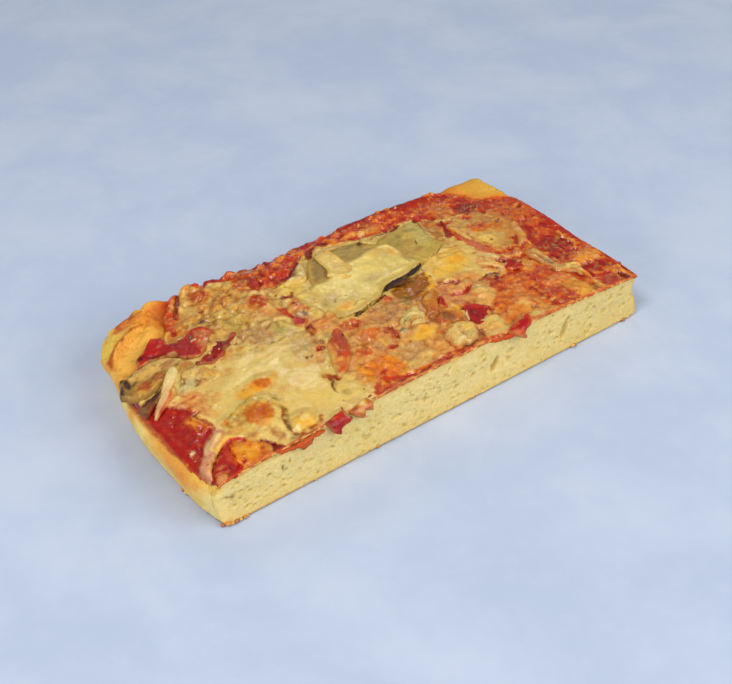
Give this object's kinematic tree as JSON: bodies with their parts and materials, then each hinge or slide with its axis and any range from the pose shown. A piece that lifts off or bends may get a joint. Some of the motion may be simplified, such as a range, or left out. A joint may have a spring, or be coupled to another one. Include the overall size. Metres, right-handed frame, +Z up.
{
  "type": "pizza slice",
  "caption": "Rectangular corner slice of thick tray pizza with tomato, melted browned cheese, grilled aubergine, red pepper, onion and artichoke, lying flat.",
  "frame": {"origin": "on the underside, below the centre of the slice's bounding box", "axes": "+X along the long sides from the crust end to the cut end, +Y from the cut long side to the crust long side, +Z up"},
  "size_m": [0.203, 0.1052, 0.0272],
  "materials": {
    "crumb": "matt baked dough: golden crust on the outside, pale open crumb at the cuts",
    "sauce": "wet cooked tomato",
    "cheese": "melted cheese with browned spots, oily sheen",
    "aubergine": "grilled flesh with dark skin",
    "pepper": "roast red pepper, glossy",
    "roast_pepper": "roast pepper, orange-red, glossy",
    "onion": "amber cooked onion, translucent, glossy",
    "artichoke": "soft cooked artichoke, pale with browned edges"
  },
  "bodies": {
    "root": {"dough_slab": "crumb", "tomato_sauce": "sauce", "melted_cheese": "cheese", "aubergine_slice_main": "aubergine", "aubergine_slice_corner": "aubergine", "aubergine_slice_under": "aubergine", "pepper_piece_corner": "pepper", "pepper_strip_corner": "pepper", "cheese_string_corner": "cheese", "artichoke_piece_corner": "artichoke", "pepper_piece_near_left": "pepper", "pepper_strip_mid": "roast_pepper", "pepper_bit_mid": "pepper", "onion_strip": "onion", "artichoke_piece_mid": "artichoke", "artichoke_piece_near": "artichoke", "pepper_piece_near_mid": "pepper", "pepper_strip_right": "pepper", "pepper_strip_right_long": "pepper", "pepper_piece_right": "pepper", "pepper_piece_far": "pepper", "pepper_piece_over_edge_left": "pepper", "onion_piece_over_edge": "onion", "pepper_piece_over_edge_right": "pepper"}
  },
  "joints": []
}
